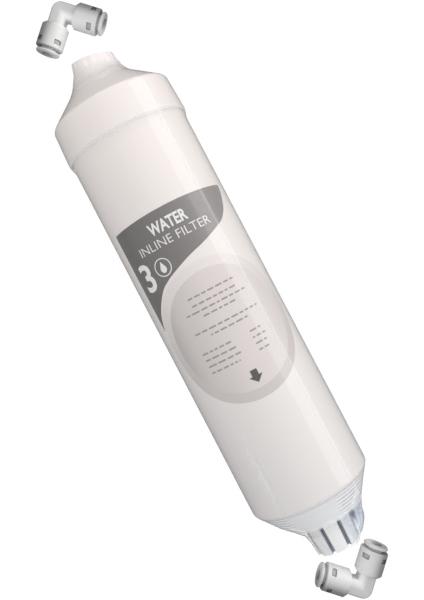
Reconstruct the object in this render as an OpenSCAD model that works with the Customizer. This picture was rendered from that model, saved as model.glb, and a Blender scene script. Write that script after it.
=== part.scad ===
// Inline water filter: a sealed carbon cartridge in a clear shrink sleeve, with two loose push-fit tube elbows.
// Everything lies on a flat surface at z = 0. +X is the flow direction, from the inlet cap to the outlet neck.

/* [Housing] */
// Outside diameter of the housing tube
body_d = 63.5; // [60:0.5:76]
// Length of the housing tube between the cap's edge and the outlet shoulder
body_l = 200.8; // [120:0.1:260]
// Wall thickness of the housing tube
body_wall = 3; // [2:0.1:4]
// Length of the smooth, rounded part of the outlet shoulder
shoulder_l = 1.5; // [1:0.1:8]
// Radial width of the smooth part of the outlet shoulder
shoulder_w = 1.45; // [1:0.05:7]
// Number of fine steps on the outlet cone
cone_steps = 7; // [4:1:12]
// Length of the stepped outlet cone
cone_l = 14.5; // [8:0.1:20]
// Radius of the stepped cone where it meets the outlet neck
cone_end_r = 15; // [14.5:0.1:17]

/* [Inlet cap] */
// How far the cap's band stands out from the tube at its edge
band_lip = 1.55; // [1.2:0.05:3]
// How much wider the band is at its edge than at the cone
band_flare = 0.9; // [0:0.1:1]
// Length of the cap's band
band_l = 18.8; // [14:0.1:30]
// Length of the cap's cone
dome_l = 11.9; // [9:0.1:20]
// Radius of the cone where it meets the inlet neck
dome_top_r = 17.4; // [15:0.1:18]
// Length of the hollow flare between the inlet neck and the cone
flare_l = 9; // [6:0.1:9]
// Thickness of the gap between the cap and the tube, which the weld fills
weld_gap = 0.1; // [0.05:0.01:0.15]

/* [Necks and ports] */
// Length of the inlet neck, its flare included
inlet_neck_l = 12.8; // [11:0.1:20]
// Length of the outlet neck
outlet_neck_l = 16.9; // [13:0.1:22]
// Outside radius of the inlet neck at its base
inlet_base_r = 10.6; // [10:0.1:14]
// Outside radius of the inlet neck at its tip
inlet_tip_r = 9.2; // [8.7:0.1:11.7]
// Outside radius of the outlet neck at its base
outlet_base_r = 12.9; // [11.8:0.1:14]
// Outside radius of the outlet neck at its tip
outlet_tip_r = 11.4; // [10.8:0.1:11.7]
// Number of ribs around a neck
neck_ribs = 8; // [4:1:10]
// Width of the slots between a neck's ribs
slot_w = 2.4; // [1.6:0.1:3]
// Depth of the outlet neck's slots at its tip
outlet_slot_depth = 2.9; // [1:0.1:3]
// Depth of the inlet neck's slots at its tip
inlet_slot_depth = 0.5; // [0.3:0.1:1]
// Radius of the port's threaded bore, for a 1/4 inch pipe thread
port_r = 5.7; // [5.5:0.05:6.2]
// Depth of the threaded bore
port_l = 10.5; // [8:0.1:11]
// Radius of the water passage behind the bore
passage_r = 3.5; // [2.5:0.1:4.5]

/* [Filter media] */
// Thickness of the perforated screens
screen_t = 2.5; // [1.5:0.1:4]
// Radius of the holes in the screens
screen_hole_r = 1.3; // [0.6:0.1:1.5]
// Thickness of the inlet foam pad
foam_t = 6; // [3:0.5:10]
// Thickness of the outlet felt pad
felt_t = 8; // [3:0.5:12]

/* [Label and shrink sleeve] */
// Length of the label along the tube
label_l = 103; // [60:1:110]
// How far the label's middle lies from the tube's middle, along the flow
label_offset = -6.6; // [-8:0.1:8]
// Angle that the label wraps around the tube
label_wrap = 131; // [60:1:180]
// Angle of the label's middle from straight up, towards +Y
label_turn = 3; // [-20:1:20]
// Thickness of the label
label_t = 0.08; // [0.05:0.01:0.1]
// Thickness of the shrink sleeve
film_t = 0.1; // [0.08:0.01:0.2]
// Gap between the sleeve and what it covers
film_gap = 0.1; // [0.1:0.01:0.2]
// How far the sleeve reaches past the inlet neck
film_inlet_over = 4.6; // [1:0.1:6]
// How far the sleeve reaches past the outlet neck
film_outlet_over = 2.2; // [1:0.1:6]

/* [Elbows] */
// Distance along the flow from the inlet neck's tip to the inlet elbow's bore corner
inlet_elbow_gap = 43.6; // [42:0.1:60]
// Distance along the flow from the outlet neck's tip to the outlet elbow's bore corner
outlet_elbow_gap = 38; // [35:0.1:60]
// How far the inlet elbow lies to the side of the cartridge's axis
inlet_elbow_y = 0; // [-5:0.1:5]
// How far the outlet elbow lies to the side of the cartridge's axis
outlet_elbow_y = 0; // [-5:0.1:5]
// Width of the elbow's square section
elbow_w = 9; // [8:0.1:9.6]
// Radius of the elbow's outer corner
elbow_corner_r = 5; // [3:0.1:6]
// Radius of the elbow's flow bore
flow_r = 2.4; // [1.8:0.1:2.8]
// Bore radius of the collets, for 1/4 inch tube
tube_r = 3.25; // [3.2:0.05:4]
// Wall of a collet's sleeve
collet_wall = 1.15; // [1:0.05:1.5]
// How far a collet's fingers stand out from its sleeve
finger_out = 0.55; // [0.45:0.05:0.8]
// Section of the seal ring
o_ring_section = 1.8; // [1.5:0.1:2.4]
// Wall of the barrels that the caps snap onto
barrel_wall = 0.8; // [0.6:0.05:1.5]
// Wall of the caps around the barrels
cap_side_wall = 1.2; // [0.9:0.05:2]
// How far a collet pushes in to let go of the tube
collet_travel = 1.5; // [0.5:0.1:2]

/* [Hidden] */
$fn = 96;

// Cartridge, along its axis. Every x below is measured from the middle of the set.
body_r = body_d / 2;
band_r = body_r + band_lip;
sleeve_off = film_gap + film_t;
axis_z = band_r + sleeve_off;
cartridge_l = inlet_neck_l + dome_l + band_l + body_l + shoulder_l + cone_l + outlet_neck_l;
cartridge_mid = 2.8;
inlet_tip_x = cartridge_mid - cartridge_l / 2;
dome_x = inlet_tip_x + inlet_neck_l;
band_x = dome_x + dome_l;
edge_x = band_x + band_l;
shoulder_x = edge_x + body_l;
cone_x = shoulder_x + shoulder_l;
outlet_neck_x = cone_x + cone_l;
outlet_tip_x = outlet_neck_x + outlet_neck_l;
cone_start_r = body_r - shoulder_w;
dome_base_r = band_r - band_flare;
dome_wall = 4.5;
cone_angle = atan2(dome_base_r - dome_top_r, dome_l);
cone_edge = 0.4;
flare_r = inlet_tip_r + 1;
flare_power = 1.2;

// Inside of the housing
cavity_r = body_r - body_wall;
media_r = cavity_r - 0.15;
rim_x = band_x + 3;
seat_gap = 0.1;
cavity_end_x = shoulder_x - 2.4;
funnel_x = outlet_neck_x - 4.5;
funnel_r = 12;
shoulder_round = 3;
outlet_screen_x = cavity_end_x - screen_t;
felt_x = outlet_screen_x - felt_t;
spigot_x = edge_x - 3.3;
spigot_wall = 3;
inlet_screen_x = spigot_x + seat_gap;
foam_x = inlet_screen_x + screen_t;
carbon_x = foam_x + foam_t;

// Label and sleeve
label_x = (edge_x + shoulder_x - label_l) / 2 + label_offset;
label_gap = 0.01;
tent_out_x = shoulder_x + 12.9;
tent_out_r = body_r - 9.45;
tent_mid_x = tent_out_x + 10.4;
tent_mid_r = 18.6;
tent_tip_r = 11.4;
tent_flare_r = 13.3;
sleeve_drop = 4.2;

// Elbow legs: radii from the tube's bore outwards
socket_r = tube_r + 0.05;
o_ring_id_r = tube_r - 0.15;
gland_r = o_ring_id_r + o_ring_section;
sleeve_r = tube_r + collet_wall;
cone_narrow_r = sleeve_r + 0.25;
finger_r = sleeve_r + finger_out;
cone_wide_r = finger_r + 0.25;
cone_ring_r = cone_wide_r + 0.25;
ring_seat_r = cone_ring_r + 0.05;
barrel_r = ring_seat_r + barrel_wall;
cap_inner_r = barrel_r + 0.1;
cap_r = cap_inner_r + cap_side_wall;
flange_r = cap_r - 1;
lug_r = barrel_r + 0.65;
elbow_z = cap_r;

// Elbow legs: places along the leg from the bore corner
cap_x = cap_r + 1.4;
barrel_x = cap_x - 0.5;
tube_stop = cap_x + 0.8;
gland_x = tube_stop + 2.4;
gland_side = 0.15;
ring_seat_x = gland_x + o_ring_section + 2 * gland_side;
cone_ring_lip = 1.1;
travel_gap = 0.2;
collet_x = ring_seat_x + cone_ring_lip + collet_travel + travel_gap;
collet_hidden_l = 5;
cap_end = collet_x + collet_hidden_l;
cap_wall = 1.7;
cap_chamfer = 0.8;
barrel_end = cap_end - cap_wall;
flange_t = 1.4;
collet_end = cap_end + travel_gap + collet_travel + flange_t;
finger_slit = 0.7;
finger_slit_l = 4.4;
teeth_x = collet_x + 0.75;
teeth_t = 0.35;
teeth_tip_r = tube_r - 0.2;
teeth_root_r = tube_r + 0.85;
window_count = 4;
window_w = 4.5;
window_l = 2.6;
window_end = 2.2;
window_turn = 45;
window_x = cap_end - window_end - window_l;
lug_w = 3.4;
lug_gap = 0.4;
edge_round = 1.5;

shell_white = [0.93, 0.92, 0.92];
fitting_white = [0.86, 0.87, 0.87];

// Turns a profile of [x, r] points about the cartridge's axis.
module along_axis(points) {
    translate([0, 0, axis_z])
        rotate([0, 90, 0])
            rotate_extrude()
                polygon([for (p = points) [p[1], p[0]]]);
}

// Points of the smooth outlet shoulder, a rounded corner and a slope, moved out by d.
function shoulder_points(d) =
    let (slope = atan2(shoulder_w, shoulder_l), back = shoulder_round * tan(slope / 2))
    concat(
        [for (a = [0:slope / 4:slope + 0.001])
            [shoulder_x - back + (shoulder_round + d) * sin(a),
             body_r - shoulder_round + (shoulder_round + d) * cos(a)]],
        [[cone_x + d * sin(slope), cone_start_r + d * cos(slope)]]
    );

// A point near [x, r] on the cap's cone, moved along its slope and out from it.
function on_cone(x, r, along, out) =
    [x + along * cos(cone_angle) - out * sin(cone_angle), r + along * sin(cone_angle) + out * cos(cone_angle)];

// Points of the flare that leads from the inlet neck into the cap's cone, steeper and steeper.
function flare_points() =
    [for (i = [0:6])
        [dome_x - flare_l * (1 - i / 6), flare_r + (dome_top_r - flare_r) * pow(i / 6, flare_power)]];

// Points of the stepped outlet cone, each step a short land and a drop.
function cone_points() =
    [for (i = [0:cone_steps - 1], k = [0, 1])
        [cone_x + (i + k) * cone_l / cone_steps,
         cone_start_r - (i + (k == 0 ? 0.35 : 0.65)) * (cone_start_r - cone_end_r) / cone_steps]];

// A neck along +X from x = 0: a tapered boss with slots between its ribs.
module neck(length, base_r, tip_r, slot_depth) {
    difference() {
        rotate([0, 90, 0]) cylinder(r1 = base_r, r2 = tip_r, h = length);
        for (i = [0:neck_ribs - 1])
            rotate([(i + 0.5) * 360 / neck_ribs, 0, 0])
                translate([1, -slot_w / 2, tip_r - slot_depth])
                    cube([length, slot_w, base_r]);
    }
}

// The threaded bore and its passage, along +X from x = 0 at the mouth inwards.
module port(passage_l) {
    rotate([0, 90, 0]) translate([0, 0, -0.01]) cylinder(r = port_r, h = port_l + 0.01);
    rotate([0, 90, 0]) cylinder(r = passage_r, h = passage_l);
}

module housing() {
    color(shell_white)
    difference() {
        union() {
            along_axis(concat(
                [[rim_x, 0], [rim_x, body_r - 0.6], [rim_x + 0.6, body_r]],
                shoulder_points(0),
                cone_points(),
                [[outlet_neck_x, cone_end_r], [outlet_neck_x, 0]]
            ));
            translate([outlet_neck_x - 0.5, 0, axis_z])
                neck(outlet_neck_l + 0.5, outlet_base_r, outlet_tip_r, outlet_slot_depth);
        }
        along_axis([
            [rim_x - 1, 0], [rim_x - 1, cavity_r], [cavity_end_x, cavity_r],
            [funnel_x, funnel_r], [funnel_x, 0]
        ]);
        translate([outlet_tip_x, 0, axis_z]) rotate([0, 0, 180]) port(outlet_tip_x - funnel_x + 1);
    }
}

module inlet_cap() {
    color(shell_white)
    difference() {
        union() {
            along_axis(concat(
                [[dome_x - flare_l, 0]],
                flare_points(),
                [on_cone(band_x, dome_base_r, -cone_edge, 0), [band_x + cone_edge, dome_base_r],
                 [edge_x - 0.8, band_r], [edge_x, band_r - 0.6], [edge_x, 0]]
            ));
            translate([dome_x, 0, axis_z]) rotate([0, 0, 180])
                neck(inlet_neck_l, inlet_base_r, inlet_tip_r, inlet_slot_depth);
        }
        // The tube's seat, around the spigot that holds the inlet screen
        along_axis([
            [rim_x - seat_gap, cavity_r - seat_gap], [rim_x - seat_gap, body_r + weld_gap],
            [edge_x + 1, body_r + weld_gap], [edge_x + 1, 0], [spigot_x, 0], [spigot_x, cavity_r - seat_gap]
        ]);
        along_axis([
            [dome_x + dome_wall, 0], [dome_x + dome_wall, passage_r + 4], [rim_x, cavity_r - spigot_wall],
            [edge_x + 1, cavity_r - spigot_wall], [edge_x + 1, 0]
        ]);
        translate([inlet_tip_x, 0, axis_z]) port(inlet_neck_l + dome_wall + 1);
    }
}

// A round plate with rings of holes.
module screen(x) {
    rings = [[1, 0], [6, 7], [12, 13.5], [18, 20], [24, 25.5]];
    translate([x, 0, axis_z]) rotate([0, 90, 0])
    difference() {
        cylinder(r = media_r, h = screen_t);
        for (ring = rings, i = [0:ring[0] - 1])
            rotate([0, 0, i * 360 / ring[0]]) translate([ring[1], 0, -1])
                cylinder(r = screen_hole_r, h = screen_t + 2, $fn = 24);
    }
}

// A plain disc of filter media from x0 to x1.
module media(x0, x1) {
    translate([x0, 0, axis_z]) rotate([0, 90, 0]) cylinder(r = media_r, h = x1 - x0);
}

module inlet_screen() {
    color(fitting_white) screen(inlet_screen_x);
}

module inlet_foam_pad() {
    color("gainsboro") media(foam_x, carbon_x);
}

module carbon_bed() {
    color([0.12, 0.12, 0.13]) media(carbon_x, felt_x);
}

module outlet_felt_pad() {
    color("whitesmoke") media(felt_x, outlet_screen_x);
}

module outlet_screen() {
    color(fitting_white) screen(outlet_screen_x);
}

module label() {
    color([0.55, 0.54, 0.57])
    translate([label_x, 0, axis_z])
        rotate([-label_turn, 0, 0])
            rotate([0, 90, 0])
                rotate([0, 0, 180 - label_wrap / 2])
                    rotate_extrude(angle = label_wrap)
                        translate([body_r + label_gap, 0]) square([label_t, label_l]);
}

// Outer outline of what the sleeve covers, from the inlet tip to the outlet tip, moved out by d.
function sleeve_line(d) = concat(
    [[inlet_tip_x - film_inlet_over, tent_tip_r + d], [dome_x - flare_l / 2, tent_flare_r + d],
     on_cone(dome_x, dome_top_r, 0, d), on_cone(band_x, dome_base_r, -cone_edge, d),
     [band_x + cone_edge, dome_base_r + d],
     [edge_x, band_r + d], [edge_x + sleeve_drop, body_r + label_t + d]],
    shoulder_points(label_t + d),
    [[tent_out_x, tent_out_r + d], [tent_mid_x, tent_mid_r + d], [outlet_tip_x + film_outlet_over, outlet_tip_r + d]]
);

module shrink_sleeve() {
    inner = sleeve_line(film_gap);
    outer = sleeve_line(sleeve_off);
    color([0.85, 0.9, 0.95, 0.35])
        along_axis(concat(inner, [for (i = [len(outer) - 1:-1:0]) outer[i]]));
}

// Puts an elbow's own frame, with its legs along +X and +Y, at one end of the cartridge (end is -1 or 1).
module at_elbow(end) {
    corner_x = end < 0 ? inlet_tip_x - inlet_elbow_gap : outlet_tip_x + outlet_elbow_gap;
    corner_y = end < 0 ? inlet_elbow_y : outlet_elbow_y;
    translate([corner_x, corner_y, elbow_z]) rotate([0, 0, end < 0 ? -45 : 135]) children();
}

// Leg 0 runs along the elbow's +X, leg 1 along its +Y.
module at_leg(leg) {
    rotate([0, 0, leg * 90]) children();
}

// A cylinder along a leg from x0 to x1.
module leg_rod(r, x0, x1) {
    translate([x0, 0, 0]) rotate([0, 90, 0]) cylinder(r = r, h = x1 - x0);
}

// Turns a profile of [x, r] points about a leg.
module leg_turned(points) {
    rotate([0, 90, 0]) rotate_extrude() polygon([for (p = points) [p[1], p[0]]]);
}

// The square arm of one leg, with rounded edges and a rounded outer corner.
module elbow_arm() {
    inner = elbow_w / 2 - edge_round;
    centre = elbow_corner_r - elbow_w / 2;
    hull() {
        for (a = [0, 30, 60, 90])
            translate([centre, centre, 0])
                cylinder(r = elbow_corner_r - edge_round * (1 - cos(a)),
                         h = 2 * (inner + edge_round * sin(a)), center = true, $fn = 40);
        for (y = [-inner, inner], z = [-inner, inner])
            translate([centre + 1, y, z]) rotate([0, 90, 0])
                cylinder(r = edge_round, h = barrel_x + 0.3 - centre - 1, $fn = 24);
    }
}

// Boxes around a leg at the caps' windows, w wide and from x0 to x1.
module at_windows(w, x0, x1) {
    for (i = [0:window_count - 1])
        rotate([window_turn + i * 360 / window_count, 0, 0])
            translate([x0, -w / 2, barrel_r - barrel_wall / 2]) cube([x1 - x0, w, cap_r]);
}

module elbow_body() {
    color(fitting_white)
    difference() {
        union() {
            elbow_arm();
            mirror([1, -1, 0]) elbow_arm();
            for (leg = [0, 1]) at_leg(leg) {
                leg_rod(barrel_r, barrel_x, barrel_end);
                intersection() {
                    at_windows(lug_w, window_x + lug_gap, window_x + window_l - lug_gap);
                    leg_rod(lug_r, window_x, window_x + window_l);
                }
            }
        }
        sphere(r = flow_r);
        for (leg = [0, 1]) at_leg(leg) {
            leg_rod(flow_r, 0, tube_stop + 1);
            leg_rod(socket_r, tube_stop, gland_x + 1);
            leg_rod(gland_r, gland_x, ring_seat_x + 1);
            leg_rod(ring_seat_r, ring_seat_x, barrel_end + 1);
        }
    }
}

module elbow_cap() {
    color(fitting_white)
    difference() {
        leg_turned([
            [cap_x, cap_inner_r], [cap_x, cap_r - cap_chamfer], [cap_x + cap_chamfer, cap_r],
            [cap_end - 0.4, cap_r], [cap_end, cap_r - 0.4], [cap_end, cone_narrow_r],
            [cap_end - cap_wall, cone_narrow_r], [cap_end - cap_wall, cap_inner_r]
        ]);
        at_windows(window_w, window_x, window_x + window_l);
    }
}

module elbow_collet() {
    color(fitting_white)
    difference() {
        leg_turned([
            [collet_x, tube_r], [collet_x, finger_r - 0.3], [collet_x + 0.3, finger_r],
            [collet_x + 1.4, finger_r], [collet_x + 2.4, sleeve_r], [collet_end - flange_t, sleeve_r],
            [collet_end - flange_t, flange_r], [collet_end - 0.5, flange_r], [collet_end, flange_r - 0.5],
            [collet_end, tube_r]
        ]);
        for (a = [0, 90])
            rotate([a + 45, 0, 0]) translate([collet_x - 1, -finger_slit / 2, -10])
                cube([finger_slit_l + 1, finger_slit, 20]);
        leg_rod(teeth_root_r, teeth_x, teeth_x + teeth_t);
    }
}

// Four steel blades, one in each finger of the collet.
module elbow_teeth() {
    color("silver")
    difference() {
        leg_rod(teeth_root_r, teeth_x, teeth_x + teeth_t);
        leg_rod(teeth_tip_r, teeth_x - 1, teeth_x + 1);
        for (a = [0, 90])
            rotate([a + 45, 0, 0]) translate([teeth_x - 1, -finger_slit, -10]) cube([3, 2 * finger_slit, 20]);
    }
}

module elbow_o_ring() {
    color([0.1, 0.1, 0.1])
    translate([gland_x + gland_side + o_ring_section / 2, 0, 0]) rotate([0, 90, 0])
        rotate_extrude() translate([o_ring_id_r + o_ring_section / 2, 0]) circle(d = o_ring_section, $fn = 48);
}

// The ring whose inner cone squeezes the collet's fingers onto the tube.
module elbow_cone_ring() {
    color(fitting_white)
    leg_turned([
        [ring_seat_x, socket_r], [ring_seat_x, cone_ring_r], [barrel_end, cone_ring_r],
        [barrel_end, cone_narrow_r], [barrel_end - 0.4, cone_narrow_r], [barrel_end - 1.9, cone_wide_r],
        [ring_seat_x + cone_ring_lip, cone_wide_r], [ring_seat_x + cone_ring_lip, socket_r]
    ]);
}

housing();
inlet_cap();
inlet_screen();
inlet_foam_pad();
carbon_bed();
outlet_felt_pad();
outlet_screen();
label();
shrink_sleeve();

for (end = [-1, 1]) {
    elbow = end < 0 ? "inlet_elbow" : "outlet_elbow";
    at_elbow(end) elbow_body();
    for (leg = [0, 1]) {
        side = leg == 0 ? "_a" : "_b";
        at_elbow(end) at_leg(leg) elbow_cap();
        at_elbow(end) at_leg(leg) elbow_collet();
        at_elbow(end) at_leg(leg) elbow_teeth();
        at_elbow(end) at_leg(leg) elbow_o_ring();
        at_elbow(end) at_leg(leg) elbow_cone_ring();
    }
}
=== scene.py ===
"""Inline water filter: a carbon cartridge in clear shrink film, with two loose push-fit tube elbows.

Lengths are in millimetres until they become vertices; MM turns them into metres.
The cartridge's axis runs along X, and a place on its tube is given as (across, along):
across is the arc length around the tube from its top line, towards +Y, and along is x.
"""
import math

import bmesh
import bpy
from mathutils import Matrix, Vector, noise


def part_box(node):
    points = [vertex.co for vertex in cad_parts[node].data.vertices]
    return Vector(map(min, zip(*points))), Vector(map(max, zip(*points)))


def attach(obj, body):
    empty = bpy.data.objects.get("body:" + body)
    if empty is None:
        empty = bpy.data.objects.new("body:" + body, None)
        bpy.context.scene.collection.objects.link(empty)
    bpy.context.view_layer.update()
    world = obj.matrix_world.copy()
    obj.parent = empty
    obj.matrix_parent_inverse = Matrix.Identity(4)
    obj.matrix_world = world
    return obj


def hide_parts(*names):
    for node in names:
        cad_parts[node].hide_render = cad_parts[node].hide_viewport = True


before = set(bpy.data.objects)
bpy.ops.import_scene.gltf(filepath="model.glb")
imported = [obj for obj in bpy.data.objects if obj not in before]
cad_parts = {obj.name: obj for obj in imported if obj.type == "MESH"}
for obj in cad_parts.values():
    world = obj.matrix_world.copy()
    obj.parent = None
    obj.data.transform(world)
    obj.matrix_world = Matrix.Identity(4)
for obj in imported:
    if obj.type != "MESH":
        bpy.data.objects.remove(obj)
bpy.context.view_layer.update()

MM = 0.001


# ---------------------------------------------------------------- sizes taken from the frame

def node_box(name):
    """Lowest and highest corner of a CAD node, in millimetres."""
    low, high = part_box(name)
    return low / MM, high / MM


HOUSING_LOW, HOUSING_HIGH = node_box("housing")
CAP_LOW, CAP_HIGH = node_box("inlet_cap")
LABEL_LOW, LABEL_HIGH = node_box("label")
SLEEVE_LOW, SLEEVE_HIGH = node_box("shrink_sleeve")

AXIS_Z = (HOUSING_LOW.z + HOUSING_HIGH.z) / 2
TUBE_R = (HOUSING_HIGH.z - HOUSING_LOW.z) / 2
BAND_R = (CAP_HIGH.z - CAP_LOW.z) / 2
LABEL_R = LABEL_HIGH.z - AXIS_Z
SLEEVE_R = (SLEEVE_HIGH.z - SLEEVE_LOW.z) / 2
FILM_GAP = SLEEVE_R - BAND_R
INLET_TIP = CAP_LOW.x
CAP_EDGE = CAP_HIGH.x
OUTLET_TIP = HOUSING_HIGH.x

# ---------------------------------------------------------------- sizes the frame has no box for

BAND_L = 18.8                       # length of the cap's band
SHOULDER_X = OUTLET_TIP - 32.9      # where the tube ends in the outlet shoulder
RING_PITCH = 14.5 / 7               # distance between the outlet cone's steps
NECK_L = 16.9                       # length of the outlet neck
NECK_X = OUTLET_TIP - NECK_L        # where the outlet neck leaves the cone
NECK_BASE_R, NECK_TIP_R = 12.9, 11.4
ELBOW_X = 179.4                     # bore corner of each elbow, on either side of the origin
LABEL_WRAP, LABEL_TURN = 131.0, 3.0     # degrees around the tube, and of its middle from the top towards +Y


# ---------------------------------------------------------------- shader helpers

def new_material(name):
    """An empty node material with its output, and the two node collections."""
    mat = bpy.data.materials.new(name)
    mat.use_nodes = True
    mat.node_tree.nodes.clear()
    out = mat.node_tree.nodes.new("ShaderNodeOutputMaterial")
    return mat, mat.node_tree, out


def add(tree, kind, **inputs):
    """Adds a node and sets its sockets: a plain value is set, a socket is linked."""
    node = tree.nodes.new(kind)
    for key, value in inputs.items():
        numbered = key[0] == "i" and key[1:].isdigit()
        socket = node.inputs[int(key[1:]) if numbered else key.replace("_", " ")]
        if isinstance(value, bpy.types.NodeSocket):
            tree.links.new(value, socket)
        else:
            socket.default_value = value
    return node


def maths(tree, operation, a, b=0.0, clamp=False):
    """The result socket of a Math node."""
    node = add(tree, "ShaderNodeMath", i0=a, i1=b)
    node.operation = operation
    node.use_clamp = clamp
    return node.outputs[0]


def mixed(tree, factor, low, high):
    """The result socket of a colour mix."""
    node = tree.nodes.new("ShaderNodeMix")
    node.data_type = "RGBA"
    for index, value in ((0, factor), (6, low), (7, high)):
        if isinstance(value, bpy.types.NodeSocket):
            tree.links.new(value, node.inputs[index])
        else:
            node.inputs[index].default_value = value
    return node.outputs[2]


def product(tree, first, *others):
    """The result socket of values multiplied one after another."""
    for value in others:
        first = maths(tree, "MULTIPLY", first, value)
    return first


def total(tree, first, *others):
    """The result socket of values added one after another."""
    for value in others:
        first = maths(tree, "ADD", first, value)
    return first


def remap(tree, value, start, stop, low=0.0, high=1.0):
    """Runs from low where value is start to high where it is stop, and stays there beyond them."""
    return add(tree, "ShaderNodeMapRange", Value=value, From_Min=start, From_Max=stop,
               To_Min=low, To_Max=high).outputs[0]


def fade(tree, distance, start, stop, low=0.0, high=1.0):
    """As remap, with start and stop in millimetres."""
    return remap(tree, distance, start * MM, stop * MM, low, high)


def off_centre(tree, distance, centre):
    """How far the distance is from centre, which is in millimetres."""
    return maths(tree, "ABSOLUTE", maths(tree, "SUBTRACT", distance, centre * MM))


def band(tree, distance, centre, half):
    """A soft stripe: 1 where the distance is centre, 0 from half a width away, in millimetres."""
    return fade(tree, off_centre(tree, distance, centre), half, 0.0)


def band_flat(tree, distance, centre, inner, outer):
    """A wide stripe: 1 up to inner millimetres from its centre, 0 from outer."""
    return fade(tree, off_centre(tree, distance, centre), outer, inner)


def ramp(tree, factor, *stops):
    """The result socket of a colour ramp with (position, colour) stops."""
    node = add(tree, "ShaderNodeValToRGB", i0=factor)
    while len(node.color_ramp.elements) < len(stops):
        node.color_ramp.elements.new(0.5)
    for element, (position, colour) in zip(node.color_ramp.elements, stops):
        element.position = position
        element.color = colour
    return node.outputs[0]


def object_place(tree):
    """The place in object space, whole and as its x, y and z."""
    place = tree.nodes.new("ShaderNodeTexCoord").outputs["Object"]
    apart = add(tree, "ShaderNodeSeparateXYZ", Vector=place)
    return place, apart.outputs["X"], apart.outputs["Y"], apart.outputs["Z"]


def grey(value):
    """A plain grey with full opacity."""
    return (value, value, value, 1)


def warm_grey(value):
    """A slightly reddish grey, as that of the ink."""
    return (value, value * 0.925, value * 0.91, 1)


def group_with(name, inputs, outputs):
    """A new shader node group, its tree, and its input and output nodes."""
    tree = bpy.data.node_groups.new(name, "ShaderNodeTree")
    for title, kind, default in inputs:
        socket = tree.interface.new_socket(title, in_out="INPUT", socket_type=kind)
        socket.default_value = default
    for title, kind in outputs:
        tree.interface.new_socket(title, in_out="OUTPUT", socket_type=kind)
    return tree, tree.nodes.new("NodeGroupInput"), tree.nodes.new("NodeGroupOutput")


def make_moulded_surface():
    """Shade variation and fine height of moulded plastic: slow mottling plus a faint grain."""
    tree, given, made = group_with(
        "moulded_surface",
        [("Colour", "NodeSocketColor", grey(0.8)), ("Shade Colour", "NodeSocketColor", grey(0.7)),
         ("Mottle Scale", "NodeSocketFloat", 40.0), ("Grain Scale", "NodeSocketFloat", 2500.0),
         ("Roughness", "NodeSocketFloat", 0.4), ("Roughness Spread", "NodeSocketFloat", 0.1)],
        [("Colour", "NodeSocketColor"), ("Roughness", "NodeSocketFloat"), ("Height", "NodeSocketFloat")])
    place = tree.nodes.new("ShaderNodeTexCoord").outputs["Object"]
    mottle = add(tree, "ShaderNodeTexNoise", Vector=place, Scale=given.outputs["Mottle Scale"], Detail=3.0)
    grain = add(tree, "ShaderNodeTexNoise", Vector=place, Scale=given.outputs["Grain Scale"], Detail=2.0)
    tint = mixed(tree, mottle.outputs[0], given.outputs["Colour"], given.outputs["Shade Colour"])
    centred = maths(tree, "SUBTRACT", mottle.outputs[0], 0.5)
    spread = product(tree, centred, given.outputs["Roughness Spread"])
    tree.links.new(tint, made.inputs["Colour"])
    tree.links.new(total(tree, given.outputs["Roughness"], spread), made.inputs["Roughness"])
    tree.links.new(grain.outputs[0], made.inputs["Height"])
    return tree


MOULDED = make_moulded_surface()
GRAIN_HEIGHT = 0.0002           # metres between the grain's valleys and its crests at full strength


def coat_with(tree, out, colour, shade, mottle, grain, roughness, spread, bump=0.0, metallic=0.0):
    """Ends a material with the moulded surface, its fine height and one shader."""
    surface = tree.nodes.new("ShaderNodeGroup")
    surface.node_tree = MOULDED
    values = {"Colour": colour, "Shade Colour": shade, "Mottle Scale": mottle, "Grain Scale": grain,
              "Roughness": roughness, "Roughness Spread": spread}
    for title, value in values.items():
        if isinstance(value, bpy.types.NodeSocket):
            tree.links.new(value, surface.inputs[title])
        else:
            surface.inputs[title].default_value = value
    shader = add(tree, "ShaderNodeBsdfPrincipled", Base_Color=surface.outputs["Colour"],
                 Roughness=surface.outputs["Roughness"], Metallic=metallic)
    if bump:
        height = add(tree, "ShaderNodeBump", Height=surface.outputs["Height"], Strength=bump,
                     Distance=GRAIN_HEIGHT)
        tree.links.new(height.outputs[0], shader.inputs["Normal"])
    tree.links.new(shader.outputs[0], out.inputs["Surface"])


def mottle_shade(tree, tint, share, darker):
    """The tint moved a little towards a darker grey; share is how much of the tint is left."""
    return mixed(tree, share, grey(darker), tint)


def make_plastic(name, colour, shade, roughness, mottle=40.0, grain=2500.0, bump=0.05, metallic=0.0):
    """A moulded surface of one colour, with its own shade variation, gloss variation and grain."""
    mat, tree, out = new_material(name)
    coat_with(tree, out, colour, shade, mottle, grain, roughness, spread=0.12, bump=bump, metallic=metallic)
    return mat


# ---------------------------------------------------------------- materials

WARM_WHITE = (0.88, 0.815, 0.785, 1)        # of the housing at its inlet end
COOL_WHITE = (0.73, 0.71, 0.705, 1)         # of the housing at its outlet end
# painted light on the outlet neck's ribs and blue-grey painted shade in its slots
RIB_PAINTED_LIGHT = (0.86, 0.86, 0.87, 1)
SLOT_PAINTED_SHADE = (0.38, 0.43, 0.5, 1)
RIB_R, SLOT_R = 11.2, 10.5                  # where the ribs' painted light ends and the slots' painted shade is reached
BARREL_SHADE_START, BARREL_SHADE_FULL = 10, 11          # along a leg from its corner, where the painted shade of the barrels under the caps takes over


def neck_painted_light_and_shade(tree, along, across, up, tint):
    """The tint with painted light on the outlet neck's ribs and blue-grey painted shade down in its slots."""
    above = maths(tree, "SUBTRACT", up, AXIS_Z * MM)
    radius = maths(tree, "SQRT", total(tree, product(tree, across, across), product(tree, above, above)))
    neck = mixed(tree, fade(tree, radius, RIB_R, SLOT_R), RIB_PAINTED_LIGHT, SLOT_PAINTED_SHADE)
    on_neck = fade(tree, along, NECK_X - 0.1, NECK_X + 0.9)
    return mixed(tree, on_neck, tint, neck)


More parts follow.
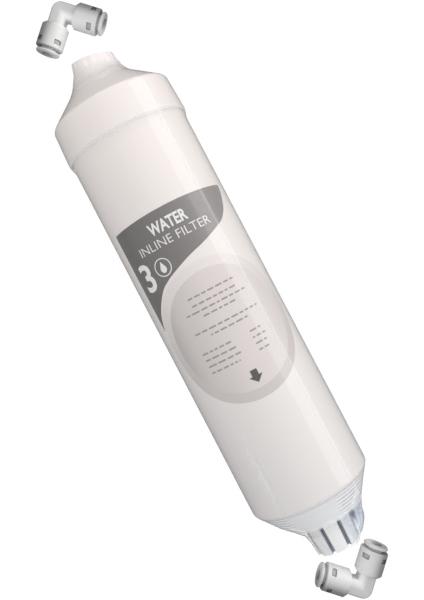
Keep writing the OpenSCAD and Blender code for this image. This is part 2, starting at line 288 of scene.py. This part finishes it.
def make_shell_white(name, roughness):
    """White of the housing and of its label: warm at the inlet end, cooler towards the outlet,
    with painted light on the outlet neck's ribs and painted shade in its slots.
    """
    mat, tree, out = new_material(name)
    _, along, across, up = object_place(tree)
    shell = mixed(tree, fade(tree, along, INLET_TIP, OUTLET_TIP), WARM_WHITE, COOL_WHITE)
    tint = neck_painted_light_and_shade(tree, along, across, up, shell)
    coat_with(tree, out, tint, mottle_shade(tree, tint, share=0.96, darker=0.6), mottle=18.0, grain=1800.0,
              roughness=roughness, spread=0.1, bump=0.03)
    return mat


def make_fitting_with_painted_shade(name, reach, outer_painted_shade, edge, barrel_painted_shade=1.0):
    """Matt white of an elbow with painted light and shade: greyer outer side, lighter inner side, darker
    barrels under caps.

    The painted shading runs over reach millimetres on either side of a leg's middle. The two outer values
    are its tones at the outer side and at edge, a share of the way across.
    """
    mat, tree, out = new_material(name)
    _, along, across, _ = object_place(tree)
    inwards = maths(tree, "SUBTRACT", ELBOW_X * MM, maths(tree, "ABSOLUTE", along))
    sideways = maths(tree, "ABSOLUTE", across)
    from_outer = product(tree, maths(tree, "SUBTRACT", inwards, sideways), math.sqrt(0.5))
    from_corner = product(tree, total(tree, inwards, sideways), math.sqrt(0.5))
    # painted shade on the outer side of each leg, rising to painted light on its inner side
    tone = ramp(tree, fade(tree, from_outer, -reach, reach), (0.0, grey(outer_painted_shade[0])),
                (edge, grey(outer_painted_shade[1])), (0.5, grey(0.57)), (0.78, grey(0.85)), (1.0, grey(0.95)))
    # painted shade on the barrels beyond the corner, where they sit under the caps
    barrel = fade(tree, from_corner, BARREL_SHADE_START, BARREL_SHADE_FULL, 1.0, barrel_painted_shade)
    shaded = mixed(tree, barrel, grey(0.0), tone)
    coat_with(tree, out, shaded, mottle_shade(tree, shaded, share=0.9, darker=0.0), mottle=90.0, grain=1500.0,
              roughness=0.45, spread=0.12, bump=0.12)
    return mat


def make_print(name, colour):
    """Ink on the label, a little uneven in tone."""
    shade = tuple(c * 0.94 for c in colour[:3]) + (1,)
    return make_plastic(name, colour, shade, roughness=0.4, mottle=60.0, grain=4000.0, bump=0.01)


def make_graded_ink(name, axis, low, high, *tones):
    """Ink whose tone changes along an axis between low and high, given as (position, warm grey) stops."""
    mat, tree, out = new_material(name)
    _, along, across, _ = object_place(tree)
    distance = {"X": along, "Y": across}[axis]
    tone = ramp(tree, fade(tree, distance, low, high), *[(at, warm_grey(value)) for at, value in tones])
    coat_with(tree, out, tone, mottle_shade(tree, tone, share=0.94, darker=0.1), mottle=60.0, grain=4000.0,
              roughness=0.4, spread=0.1)
    return mat


FILM_IOR = 1.45
CLEAR_TINT = (0.985, 0.985, 0.985, 1)       # light that gets through the tight film
BUNCHED_TINT = (0.84, 0.87, 0.92, 1)        # and through the bunched film
POCKET_PAINTED_SHADE = (0.3, 0.34, 0.42, 1)          # and through its pocket beside the neck, darkened as painted shade
INLET_MILK = (0.83, 0.76, 0.735, 1)
OUTLET_MILK = (0.93, 0.94, 0.97, 1)
BUNCHED_MILK = (0.78, 0.82, 0.88, 1)


def cone_haze_and_crest_highlights(tree, along, across):
    """Haze over the stepped cone: even along its middle, with painted highlights along the rings on both
    sides.
    """
    on_cone = fade(tree, along, SHOULDER_X - 1, SHOULDER_X + 2)
    before_neck = fade(tree, along, NECK_X + 0.3, NECK_X - 1.1)
    beside = maths(tree, "SUBTRACT", 1.0, band_flat(tree, across, centre=-4, inner=11, outer=15))
    wave = maths(tree, "SINE", product(tree, along, 2 * math.pi / (RING_PITCH * MM)))
    # painted highlights: a bright line on every step of the cone, on its two sides
    painted_ring_highlights = product(tree, remap(tree, wave, 0.1, 0.9), beside, 0.45)
    even = maths(tree, "SUBTRACT", 0.75, product(tree, beside, 0.25))
    return product(tree, on_cone, before_neck, total(tree, even, painted_ring_highlights))


def film_painted_highlights(tree, along, across, up):
    """Painted highlights on the film: a long painted reflection, a short one near the outlet, one over the
    cap's edge.
    """
    on_top = fade(tree, up, AXIS_Z, AXIS_Z + 8)
    long_painted_reflection = product(tree, band(tree, across, centre=19.6, half=1.2), 0.16)
    short_painted_reflection = product(tree, band(tree, across, centre=-17.8, half=2.2),
                         band(tree, along, centre=LABEL_LOW.x + 138, half=22), 0.7)
    cap_edge_painted_highlight = product(tree, band(tree, along, centre=CAP_EDGE + 0.3, half=1.5), 0.45)
    return total(tree, product(tree, total(tree, long_painted_reflection, short_painted_reflection), on_top), cap_edge_painted_highlight)


def make_film():
    """Clear shrink film: clear on the tube, milky over the inlet neck, bunched beside the outlet neck,
    with painted highlights and a dark patch of painted shade in the bunch.
    """
    mat, tree, out = new_material("clear_film")
    place, along, across, up = object_place(tree)
    # how milky the film is from the end of the cap's band to just past the inlet neck's tip
    to_inlet = fade(tree, along, CAP_EDGE - BAND_L, INLET_TIP - 5)
    inlet_haze = ramp(tree, to_inlet, (0.0, grey(0)), (0.05, grey(0.15)), (0.42, grey(0.18)),
                      (0.56, grey(0.65)), (0.76, grey(0.95)))
    # the bunch starts on the last steps of the cone, 7 to 12 mm to the +Y side, with a pocket of painted
    # shade in it
    bunch = product(tree, fade(tree, along, OUTLET_TIP - 22, OUTLET_TIP - 14), fade(tree, across, 7, 12))
    shade_pocket = product(tree, band(tree, across, centre=12.6, half=2.6),
                     band(tree, along, centre=OUTLET_TIP - 15.4, half=6.0))
    shade_pocket = maths(tree, "MULTIPLY", shade_pocket, 1.5, clamp=True)
    folds = add(tree, "ShaderNodeTexNoise", Vector=place, Scale=130.0, Detail=3.0, Roughness=0.6)
    creases = product(tree, remap(tree, folds.outputs[0], 0.42, 0.62), 0.5)
    bunch_haze = product(tree, bunch, total(tree, 0.1, creases), maths(tree, "SUBTRACT", 1.0, shade_pocket))
    haze_and_painted_highlights = total(tree, inlet_haze, bunch_haze, cone_haze_and_crest_highlights(tree, along, across))
    # the painted highlights are laid on as more milkiness of the film
    haze_and_painted_highlights = maths(tree, "ADD", haze_and_painted_highlights, film_painted_highlights(tree, along, across, up), clamp=True)

    tint = mixed(tree, shade_pocket, mixed(tree, bunch, CLEAR_TINT, BUNCHED_TINT), POCKET_PAINTED_SHADE)
    milk = mixed(tree, bunch, mixed(tree, to_inlet, OUTLET_MILK, INLET_MILK), BUNCHED_MILK)
    clear = add(tree, "ShaderNodeBsdfTransparent", Color=tint)
    milky = add(tree, "ShaderNodeBsdfDiffuse", Color=milk)
    body = add(tree, "ShaderNodeMixShader", i0=haze_and_painted_highlights, i1=clear.outputs[0], i2=milky.outputs[0])
    inside = tree.nodes.new("ShaderNodeNewGeometry").outputs["Backfacing"]
    fresnel = add(tree, "ShaderNodeFresnel", IOR=remap(tree, inside, 0.0, 1.0, FILM_IOR, 1 / FILM_IOR))
    gloss = add(tree, "ShaderNodeBsdfGlossy", Roughness=0.07)
    blend = add(tree, "ShaderNodeMixShader", i0=fresnel.outputs[0], i1=body.outputs[0], i2=gloss.outputs[0])
    tree.links.new(blend.outputs[0], out.inputs["Surface"])
    return mat


HOUSING_WHITE = make_shell_white("housing_white", 0.5)
LABEL_WHITE = make_shell_white("label_white", 0.45)
PAINTED_SHADE_FITTING = make_fitting_with_painted_shade("fitting_white", reach=7.6, outer_painted_shade=(0.15, 0.22), edge=0.24)
PAINTED_SHADE_BARREL = make_fitting_with_painted_shade("painted_shade_barrel", reach=4.8, outer_painted_shade=(0.13, 0.5), edge=0.14,
                                    barrel_painted_shade=0.55)
PAINTED_SHADE_COLLET = make_fitting_with_painted_shade("painted_shade_collet", reach=7.0, outer_painted_shade=(0.3, 0.42), edge=0.22)
SCREEN_WHITE = make_plastic("screen_white", (0.6, 0.6, 0.6, 1), (0.55, 0.55, 0.55, 1), 0.5)
FOAM = make_plastic("foam_grey", (0.6, 0.6, 0.56, 1), (0.3, 0.3, 0.28, 1), 0.95,
                    mottle=900.0, grain=1800.0, bump=0.9)
FELT = make_plastic("felt_white", (0.75, 0.75, 0.72, 1), (0.6, 0.6, 0.57, 1), 0.95,
                    mottle=300.0, grain=2600.0, bump=0.8)
CARBON = make_plastic("carbon_black", (0.02, 0.02, 0.022, 1), (0.05, 0.05, 0.052, 1), 0.7,
                      mottle=900.0, grain=1200.0, bump=1.0)
STEEL = make_plastic("blade_steel", (0.6, 0.6, 0.62, 1), (0.5, 0.5, 0.52, 1), 0.3, metallic=1.0)
RUBBER = make_plastic("seal_rubber", (0.02, 0.02, 0.02, 1), (0.035, 0.035, 0.035, 1), 0.6)
PANEL_INK = make_graded_ink("panel_ink", "Y", -TUBE_R, TUBE_R, (0.05, 0.135), (0.2, 0.14), (0.34, 0.165),
                            (0.47, 0.19), (0.6, 0.225), (0.73, 0.275), (0.95, 0.3))
DISC_INK = make_graded_ink("disc_ink", "Y", -TUBE_R, TUBE_R, (0.05, 0.5), (0.22, 0.63), (0.5, 0.7),
                           (0.95, 0.7))
RING_INK = make_graded_ink("ring_ink", "X", LABEL_LOW.x, LABEL_HIGH.x, (0.3, 0.8), (0.55, 0.74),
                           (0.8, 0.62), (1.0, 0.6))
WHITE_INK = make_print("white_ink", (0.85, 0.84, 0.84, 1))
SMALL_INK = make_print("small_print_ink", (0.33, 0.3, 0.29, 1))
ARROW_INK = make_print("arrow_ink", (0.08, 0.075, 0.075, 1))
FILM = make_film()


def paint(obj, material):
    """Gives a piece its one material."""
    obj.data.materials.clear()
    obj.data.materials.append(material)


def paint_frame():
    """Gives every CAD node its finish, apart from the two that other pieces stand for."""
    finishes = {"housing": HOUSING_WHITE, "inlet_cap": HOUSING_WHITE, "inlet_screen": SCREEN_WHITE,
                "outlet_screen": SCREEN_WHITE, "inlet_foam_pad": FOAM, "outlet_felt_pad": FELT,
                "carbon_bed": CARBON}
    for name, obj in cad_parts.items():
        if name in finishes:
            paint(obj, finishes[name])
        elif "_teeth_" in name:
            paint(obj, STEEL)
        elif "_o_ring_" in name:
            paint(obj, RUBBER)
        elif "_collet_" in name:
            paint(obj, PAINTED_SHADE_COLLET)
        elif name.endswith("_body"):
            paint(obj, PAINTED_SHADE_BARREL)
        elif "elbow" in name:
            paint(obj, PAINTED_SHADE_FITTING)


# ---------------------------------------------------------------- mesh helpers

def new_piece(name, mesh, material, body):
    """Makes an object of a mesh, paints it and lets it ride on a body."""
    obj = bpy.data.objects.new(name, mesh)
    bpy.context.scene.collection.objects.link(obj)
    paint(obj, material)
    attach(obj, body)
    return obj


def around_axis(x, radius, angle):
    """The vertex at x and that radius, at that angle from the top towards +Y, in metres."""
    return Vector((x, radius * math.sin(angle), AXIS_Z + radius * math.cos(angle))) * MM


def mesh_of(bm, name):
    """Turns a bmesh into a mesh and frees it."""
    mesh = bpy.data.meshes.new(name)
    bm.to_mesh(mesh)
    bm.free()
    return mesh


def join_rows(bm, rows):
    """Closes each row of vertices into a loop and joins it to the next row with faces."""
    count = len(rows[0])
    for a, b in zip(rows, rows[1:]):
        for k in range(count):
            j = (k + 1) % count
            bm.faces.new((a[k], a[j], b[j], b[k]))


STRIP = 0.6                     # width of the flat strips that a print is cut into


def wrap_flat(bm, lift):
    """Cuts a flat print into narrow strips along the tube, then lays it lift millimetres over the label."""
    spread = [v.co.x for v in bm.verts]
    at = math.floor(min(spread) / STRIP) * STRIP
    while at < max(spread):
        geometry = bm.verts[:] + bm.edges[:] + bm.faces[:]
        bmesh.ops.bisect_plane(bm, geom=geometry, plane_co=(at, 0, 0), plane_no=(1, 0, 0), dist=1e-4)
        at += STRIP
    bmesh.ops.triangulate(bm, faces=bm.faces[:])
    for v in bm.verts:
        v.co = around_axis(v.co.y, LABEL_R + lift, v.co.x / LABEL_R)
    bmesh.ops.recalc_face_normals(bm, faces=bm.faces[:])
    outward = sum((f.normal.z * f.calc_area() for f in bm.faces), 0.0)
    if outward < 0:
        bmesh.ops.reverse_faces(bm, faces=bm.faces[:])


def print_shape(name, outlines, material, lift):
    """Prints closed outlines of (across, along) points on the label as one piece."""
    bm = bmesh.new()
    for outline in outlines:
        bm.faces.new([bm.verts.new((across, along, 0)) for across, along in outline])
    wrap_flat(bm, lift)
    new_piece(name, mesh_of(bm, name), material, "cartridge")


def print_words(name, words, centre, height, width, weight, material, lift):
    """Prints words that read towards +Y: capitals that high, a line that wide, strokes widened by weight."""
    curve = bpy.data.curves.new(name, "FONT")
    curve.body = words
    curve.offset = weight
    curve.align_x = "CENTER"
    curve.align_y = "CENTER"
    curve.resolution_u = 3
    flat = bpy.data.objects.new(name + "_flat", curve)
    bpy.context.scene.collection.objects.link(flat)
    bpy.context.view_layer.update()
    bm = bmesh.new()
    bm.from_mesh(flat.to_mesh())
    bpy.data.objects.remove(flat)
    xs = [v.co.x for v in bm.verts]
    ys = [v.co.y for v in bm.verts]
    middle = Vector(((min(xs) + max(xs)) / 2, (min(ys) + max(ys)) / 2, 0))
    scale_x, scale_y = width / (max(xs) - min(xs)), height / (max(ys) - min(ys))
    for v in bm.verts:
        place = v.co - middle
        v.co = Vector((centre[0] + place.x * scale_x, centre[1] - place.y * scale_y, 0))
    bmesh.ops.remove_doubles(bm, verts=bm.verts[:], dist=1e-3)
    wrap_flat(bm, lift)
    new_piece(name, mesh_of(bm, name), material, "cartridge")


def arc(centre, radius, start, stop, steps):
    """Points of an arc of (across, along), angles in degrees."""
    return [(centre[0] + radius * math.cos(math.radians(start + (stop - start) * i / steps)),
             centre[1] + radius * math.sin(math.radians(start + (stop - start) * i / steps)))
            for i in range(steps + 1)]


def smooth_through(points, steps=6):
    """A Catmull-Rom curve through points."""
    out = []
    for i in range(len(points) - 1):
        p0, p1 = points[max(i - 1, 0)], points[i]
        p2, p3 = points[i + 1], points[min(i + 2, len(points) - 1)]
        for k in range(steps):
            t = k / steps
            out.append(tuple(0.5 * (2 * b + (c - a) * t + (2 * a - 5 * b + 4 * c - d) * t * t
                                    + (3 * b - a - 3 * c + d) * t ** 3)
                             for a, b, c, d in zip(p0, p1, p2, p3)))
    return out + [points[-1]]


# ---------------------------------------------------------------- label print

LABEL_MID = (LABEL_LOW.x + LABEL_HIGH.x) / 2
MID = LABEL_MID - 7.7           # x that the label's layout is measured from
LABEL_STRIPS = 180              # flat strips that the label's curve is made of
INK_LIFT = 0.012                # height of the panel's ink over the label
WHITE_LIFT = 2 * INK_LIFT       # height of the white ink, which lies over the panel
BAR = 0.85                      # height of the bars that stand in for small print
BAR_GAP = 0.75                  # gap between two bars of a row


def rounded_bar(left, right, along):
    """A short bar with round ends, as a stand-in for a word."""
    r = BAR / 2
    return arc((left + r, along), r, 90, 270, 4) + arc((right - r, along), r, -90, 90, 4)


def word_row(left, right, along, seed):
    """A row of word-like bars of uneven length between left and right."""
    usual, spread, shortest, last_start = 2.9, 2.6, 1.0, right - 0.8
    bars = []
    at = left
    while at < last_start:
        # whole numbers would all lie on the noise's zeros, so the seed and the count are stretched
        length = usual + spread * noise.noise(Vector((seed * 3.7, len(bars) * 1.9, 0.3)))
        end = min(at + max(length, shortest), right)
        bars.append(rounded_bar(at, end, along))
        at = end + BAR_GAP
    return bars


def build_label_sheet():
    """The label itself, finely curved so that the print lies flat on it."""
    section = ((LABEL_LOW.x, TUBE_R), (LABEL_LOW.x, LABEL_R),
               (LABEL_HIGH.x, LABEL_R), (LABEL_HIGH.x, TUBE_R))
    bm = bmesh.new()
    rows = []
    for i in range(LABEL_STRIPS + 1):
        angle = math.radians(LABEL_TURN + LABEL_WRAP * (i / LABEL_STRIPS - 0.5))
        rows.append([bm.verts.new(around_axis(x, radius, angle)) for x, radius in section])
    join_rows(bm, rows)
    bm.faces.new(rows[0])
    bm.faces.new(reversed(rows[-1]))
    bmesh.ops.recalc_face_normals(bm, faces=bm.faces[:])
    sheet = new_piece("label_sheet", mesh_of(bm, "label_sheet"), LABEL_WHITE, "cartridge")
    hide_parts("label")


def print_panel():
    """The dark panel behind the heading, arched at the top and swept away below."""
    left, right, top, rise, steps = -33.7, 36.5, MID - 42.3, 1.2, 10
    arch = [(left + (right - left) * i / steps, top - rise * math.sin(math.pi * i / steps))
            for i in range(steps + 1)]
    sweep = smooth_through([(right, MID - 41), (35.5, MID - 38), (33, MID - 34), (30, MID - 29.8),
                            (25, MID - 25.5), (20, MID - 23.3), (10, MID - 19.5), (0, MID - 16.5),
                            (-10, MID - 12.7), (-15, MID - 10.5), (-20, MID - 7.5), (-27.5, MID),
                            (-31, MID + 5), (left, MID + 11)])
    print_shape("label_panel", [arch + sweep], PANEL_INK, INK_LIFT)


def print_disc():
    """The pale disc and the ring around it, below the panel."""
    centre, disc_r, ring_r = (1.7, MID + 23), 31.0, 36.0
    print_shape("label_ring", [arc(centre, ring_r, 0, 356, 89)], RING_INK, INK_LIFT * 0.34)
    print_shape("label_disc", [arc(centre, disc_r, 0, 356, 89)], DISC_INK, INK_LIFT * 0.67)


def print_heading():
    """The two heading lines, the stage numeral and the badge with its drop."""
    print_words("label_heading", "WATER", centre=(-1.75, MID - 35.5), height=6.0, width=20.5,
                weight=0.03, material=WHITE_INK, lift=WHITE_LIFT)
    print_words("label_subheading", "INLINE FILTER", centre=(-2.0, MID - 28.3), height=4.2, width=40.0,
                weight=-0.008, material=WHITE_INK, lift=WHITE_LIFT)
    print_words("label_stage_numeral", "3", centre=(-25.2, MID - 16.3), height=14.5, width=7.6,
                weight=0.02, material=WHITE_INK, lift=WHITE_LIFT)
    centre, outer, inner = (-14.0, MID - 17.5), 4.6, 4.1
    rim = [arc(centre, outer, a, a + 90, 12) + arc(centre, inner, a + 90, a, 12) for a in (0, 90, 180, 270)]
    drop = smooth_through([(-14.0, MID - 20.4), (-12.9, MID - 18.2), (-12.35, MID - 16.6),
                           (-12.9, MID - 15.2), (-14.0, MID - 14.7), (-15.1, MID - 15.2),
                           (-15.65, MID - 16.6), (-15.1, MID - 18.2), (-14.0, MID - 20.4)])[:-1]
    print_shape("label_badge", rim + [drop], WHITE_INK, WHITE_LIFT)


def print_small():
    """Bars in place of the small print, and the two-column table."""
    middle = 1.8
    lines = [(2.0, 12.5), (5.8, 12.0), (9.0, 17.0), (12.0, 9.0), (18.5, 17.5), (21.5, 10.0)]
    table = [28.5, 31.8, 35.0, 38.3]
    bars = []
    for number, (along, half) in enumerate(lines):
        bars += word_row(middle - half, middle + half, MID + along, seed=number)
    for number, along in enumerate(table):
        bars += word_row(-17.0, -1.0 + 1.5 * (number % 3), MID + along, seed=20 + number)
        bars += word_row(9.0, 15.5 + number % 2, MID + along, seed=40 + number)
    print_shape("label_small_print", bars, SMALL_INK, INK_LIFT)


def print_arrow():
    """The flow arrow, pointing at the outlet."""
    x, tail, tip, shaft, head = 1.8, MID + 45.0, MID + 51.5, 1.75, 3.5
    neck = tip - 3.4
    arrow = [(x - shaft, tail), (x + shaft, tail), (x + shaft, neck), (x + head, neck), (x, tip),
             (x - head, neck), (x - shaft, neck)]
    print_shape("label_arrow", [arrow], ARROW_INK, INK_LIFT)


# ---------------------------------------------------------------- shrink film

FILM_LINE = [
    # x, radius on the +Y side, radius on the -Y side, how creased it is
    (INLET_TIP - 4.4, 13.2, 7.9, 0.35),
    (INLET_TIP + 1.4, 13.7, 9.5, 0.3),
    (INLET_TIP + 7.4, 15.0, 13.3, 0.15),
    (INLET_TIP + 10.4, 16.4, 15.5, 0.08),
    (INLET_TIP + 12.8, 18.0, 17.8, 0.04),
    (CAP_EDGE - 19.2, BAND_R - 1.3, BAND_R - 1.3, 0.0),
    (CAP_EDGE - 18.3, BAND_R - 0.86, BAND_R - 0.86, 0.0),
    (CAP_EDGE - 0.3, BAND_R, BAND_R, 0.0),
    (CAP_EDGE + 0.8, BAND_R - 0.3, BAND_R - 0.3, 0.0),
    (CAP_EDGE + 4.2, LABEL_R + 0.05, LABEL_R + 0.05, 0.0),
    (SHOULDER_X - 2.8, LABEL_R, LABEL_R, 0.0),
    (SHOULDER_X - 1.2, TUBE_R + 0.08, TUBE_R + 0.08, 0.0),
    (SHOULDER_X - 0.2, TUBE_R - 0.1, TUBE_R - 0.1, 0.0),
    (SHOULDER_X + 0.9, TUBE_R - 0.75, TUBE_R - 0.75, 0.0),
    (SHOULDER_X + 1.5, TUBE_R - 1.3, TUBE_R - 1.3, 0.0),
    (SHOULDER_X + 5.7, 27.5, 27.2, 0.0),
    (SHOULDER_X + 10.8, 24.2, 23.4, 0.06),
    (SHOULDER_X + 15.9, 20.7, 18.2, 0.4),
    (SHOULDER_X + 21.0, 18.7, 13.7, 0.8),
    (SHOULDER_X + 25.1, 18.0, 12.8, 0.9),
    (SHOULDER_X + 27.2, 16.6, 12.5, 0.9),
    (SHOULDER_X + 31.3, 13.8, 12.0, 0.7),
    (OUTLET_TIP + 2.0, 10.8, 11.5, 0.4),
]


def noise_around(x, angle, along_scale, around_scale, offset=0.0):
    """Smooth noise over the film, which joins up around the axis."""
    place = (x * along_scale + offset, math.sin(angle) * around_scale, math.cos(angle) * around_scale)
    return noise.noise(Vector(place))


def film_radius(x, angle):
    """Radius of the film at x and at that angle from the top, towards +Y."""
    side = 0.5 + 0.5 * math.sin(angle)
    for (x0, free0, snug0, loose0), (x1, free1, snug1, loose1) in zip(FILM_LINE, FILM_LINE[1:]):
        if x <= x1:
            break
    share = max(0.0, min(1.0, (x - x0) / (x1 - x0)))
    free = free0 + (free1 - free0) * share
    snug = snug0 + (snug1 - snug0) * share
    # creases: broad waves and sharper ridges, less than a third as strong on the -Y side
    loose = (loose0 + (loose1 - loose0) * share) * (0.3 + 0.7 * side)
    waves = 1.2 * noise_around(x, angle, 0.09, 2.4)
    ridge = 1 - 2 * abs(noise_around(x, angle, 0.16, 4.5, offset=9))
    return snug + (free - snug) * side + loose * (waves + 1.1 * (ridge - 0.6))


def neck_radius(x):
    """Radius of the outlet neck's ribs at x, or nothing off the neck."""
    if x < NECK_X or x > OUTLET_TIP + 0.5:
        return 0.0
    return NECK_TIP_R + (NECK_BASE_R - NECK_TIP_R) * (OUTLET_TIP - x) / NECK_L


def cone_ring(x, angle):
    """How far the film stands out where it follows a step of the outlet cone, on the cone's two sides."""
    ridge_h = 0.07
    if x < SHOULDER_X + 1 or x > NECK_X:
        return 0.0
    # nothing along the top, all of it from 22 degrees towards +Y and from 38 degrees towards -Y
    beside = min(1.0, max(0.0, abs(math.sin(angle) + 0.12) - 0.3) * 5)
    return ridge_h * beside * (1 + math.sin(2 * math.pi * x / RING_PITCH))


FILM_SPANS = [
    # where a span of the film starts, and the distance between its rings of vertices
    (FILM_LINE[0][0], 0.8),
    (CAP_EDGE - 18, 1.5),
    (CAP_EDGE - 2, 0.4),
    (CAP_EDGE + 6, 3.0),
    (SHOULDER_X - 3, 0.25),
    (NECK_X, 0.5),
    (FILM_LINE[-1][0], 0.5),
]
END_REACH = 10.0                # length of film at each end that gives way to its slanted or ragged edge
FILM_AROUND = 288               # vertices in each ring


def film_rings():
    """The x of every ring of the film's vertices, before the ends are cut."""
    rings = []
    for (start, step), (stop, _) in zip(FILM_SPANS, FILM_SPANS[1:]):
        count = math.ceil((stop - start) / step)
        rings += [start + (stop - start) * i / count for i in range(count)]
    return rings + [FILM_SPANS[-1][0]]


def cut_end(x, angle):
    """x moved near the film's ends: a slanted cut at the inlet, a ragged one at the outlet."""
    first, last = FILM_LINE[0][0], FILM_LINE[-1][0]
    if x < first + END_REACH:
        slant = 4.0 * (0.5 + 0.5 * math.sin(angle)) + max(0.0, math.cos(angle))
        return x + slant * (first + END_REACH - x) / END_REACH
    if x > last - END_REACH:
        place = Vector((math.sin(angle) * 5, math.cos(angle) * 5, 4.7))
        ragged = max(0.0, 1.6 + 2.6 * noise.noise(place))
        return x - ragged * (x - last + END_REACH) / END_REACH
    return x


def film_vertex(ring, k):
    """Place of the k-th vertex of the ring at that x."""
    angle = 2 * math.pi * k / FILM_AROUND
    x = cut_end(ring, angle)
    radius = max(film_radius(x, angle), neck_radius(x)) + FILM_GAP + cone_ring(x, angle)
    return around_axis(x, min(radius, SLEEVE_R), angle)


def build_film():
    """The shrink sleeve: tight on the tube, creased and tented over the necks, with ragged ends."""
    bm = bmesh.new()
    rows = []
    for ring in film_rings():
        rows.append([bm.verts.new(film_vertex(ring, k)) for k in range(FILM_AROUND)])
    join_rows(bm, rows)
    bmesh.ops.recalc_face_normals(bm, faces=bm.faces[:])
    for face in bm.faces:
        face.smooth = True
    film = new_piece("film_sleeve", mesh_of(bm, "film_sleeve"), FILM, "cartridge")
    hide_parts("shrink_sleeve")


# ---------------------------------------------------------------- floor, lights, camera

WHITE_STRENGTH = 1.02           # of the ground and of the sky behind the set, as the camera sees them


def build_floor():
    """A plain white ground that only the camera sees, from above: it throws no light and takes no shadow."""
    bpy.ops.mesh.primitive_plane_add(size=4.0, location=(0, 0, -0.0002))
    floor = bpy.context.object
    floor.name = "floor"
    mat, tree, out = new_material("floor_white")
    shine = add(tree, "ShaderNodeEmission", Color=grey(1.0), Strength=WHITE_STRENGTH)
    nothing = tree.nodes.new("ShaderNodeBsdfTransparent")
    below = tree.nodes.new("ShaderNodeNewGeometry").outputs["Backfacing"]
    seen = add(tree, "ShaderNodeMixShader", i0=below, i1=shine.outputs[0], i2=nothing.outputs[0])
    tree.links.new(seen.outputs[0], out.inputs["Surface"])
    paint(floor, mat)
    floor.visible_diffuse = False
    floor.visible_glossy = False
    floor.visible_shadow = False


def area_light(name, place, target, size, power, colour):
    """A rectangular soft light that faces target."""
    data = bpy.data.lights.new(name, "AREA")
    data.shape = "RECTANGLE"
    data.size, data.size_y = size
    data.energy = power
    data.color = colour
    lamp = bpy.data.objects.new(name, data)
    lamp.location = place
    lamp.rotation_euler = (Vector(target) - Vector(place)).to_track_quat("-Z", "Y").to_euler()
    bpy.context.scene.collection.objects.link(lamp)


def build_lights():
    """A soft white sky over a darker ground, a broad key from the +Y side and a weak fill beyond the inlet.

    The ground is darkest along the flow and lighter to both sides. The camera sees plain white instead.
    """
    ground_low, ground_side, sky_light = 0.12, 0.4, 0.92
    world = bpy.data.worlds.new("studio")
    bpy.context.scene.world = world
    world.use_nodes = True
    tree = world.node_tree
    towards = tree.nodes.new("ShaderNodeTexCoord").outputs["Generated"]
    aim = add(tree, "ShaderNodeSeparateXYZ", Vector=towards)
    sideways = maths(tree, "ABSOLUTE", aim.outputs["Y"])
    ground = total(tree, ground_low, product(tree, sideways, ground_side))
    light = remap(tree, aim.outputs["Z"], -0.1, 0.2, ground, sky_light)
    seen = tree.nodes.new("ShaderNodeLightPath").outputs["Is Camera Ray"]
    strength = remap(tree, seen, 0.0, 1.0, light, WHITE_STRENGTH)
    tree.links.new(strength, tree.nodes["Background"].inputs["Strength"])
    tree.nodes["Background"].inputs["Color"].default_value = (1, 1, 1, 1)
    area_light("key", place=(0.0, 0.8, 0.42), target=(0, 0, 0.03), size=(1.4, 0.5), power=3.5,
               colour=(1.0, 0.99, 0.97))
    area_light("inlet_fill", place=(-0.65, 0.1, 0.3), target=(-0.12, 0, 0.04), size=(0.5, 0.4), power=0.55,
               colour=(1.0, 0.94, 0.92))


def build_camera():
    """Looks down on the set, turned so that the flow runs down and to the right."""
    above = 375.0                       # height over the cartridge's axis
    view_h = 309.78                     # height of what the camera sees at the axis
    lean = math.radians(1.3)            # towards the inlet
    turn = math.radians(27.62)          # of the flow, from straight down
    focal_share = above / view_h
    eye = Vector((MID, 0, AXIS_Z + above))
    look = Vector((-math.sin(lean), 0, -math.cos(lean)))
    flow = Vector((math.cos(lean), 0, -math.sin(lean)))
    side = Vector((0, 1, 0))
    right = flow * math.sin(turn) + side * math.cos(turn)
    up = -flow * math.cos(turn) + side * math.sin(turn)
    aim = Vector((LABEL_MID, 0, AXIS_Z)) - eye
    data = bpy.data.cameras.new("camera")
    data.sensor_width = 36.0
    data.lens = focal_share * data.sensor_width
    data.shift_x = aim.dot(right) / aim.dot(look) * focal_share
    data.shift_y = aim.dot(up) / aim.dot(look) * focal_share
    data.clip_start = 0.01
    data.clip_end = 10
    camera = bpy.data.objects.new("camera", data)
    axes = Matrix((right, up, -look)).transposed().to_4x4()
    camera.matrix_world = Matrix.Translation(eye * MM) @ axes
    bpy.context.scene.collection.objects.link(camera)
    bpy.context.scene.camera = camera


# ---------------------------------------------------------------- the set

build_camera()
build_floor()
build_lights()
paint_frame()
build_label_sheet()
print_panel()
print_disc()
print_heading()
print_small()
print_arrow()
build_film()

bpy.context.scene.view_settings.view_transform = "Standard"
